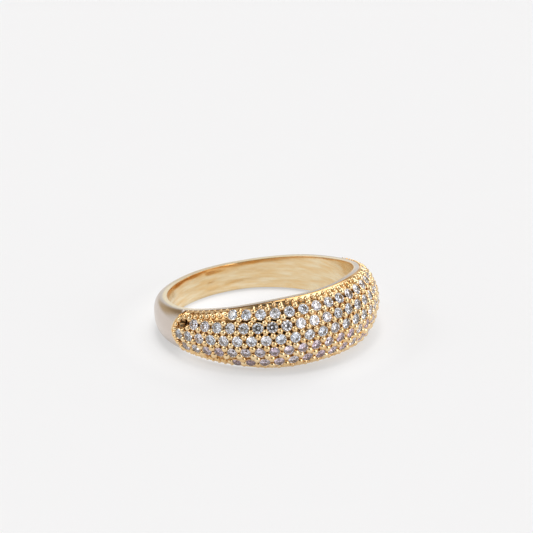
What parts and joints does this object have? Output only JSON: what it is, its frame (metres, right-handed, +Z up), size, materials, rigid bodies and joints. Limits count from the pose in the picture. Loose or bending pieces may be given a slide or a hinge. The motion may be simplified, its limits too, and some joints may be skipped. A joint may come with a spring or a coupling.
{
  "type": "pave ring",
  "caption": "Domed finger ring in polished yellow gold plate, its tapering dome pave set with rows of small round clear stones held by beads of metal.",
  "frame": {"origin": "the middle of the ring's bounding box, on the surface that the ring lies on", "axes": "+Z up from that surface; -Y towards the middle of the dome; +X to the right of a viewer who faces the dome; the finger's axis leans from +Z towards +Y"},
  "size_m": [0.0208, 0.0209, 0.0067],
  "materials": {
    "gold_plate": "polished yellow gold plating over cast brass",
    "clear_stone": "clear faceted cubic zirconia, polished"
  },
  "bodies": {
    "root": {"band": "gold_plate", "pave_stones": "clear_stone"}
  },
  "joints": []
}
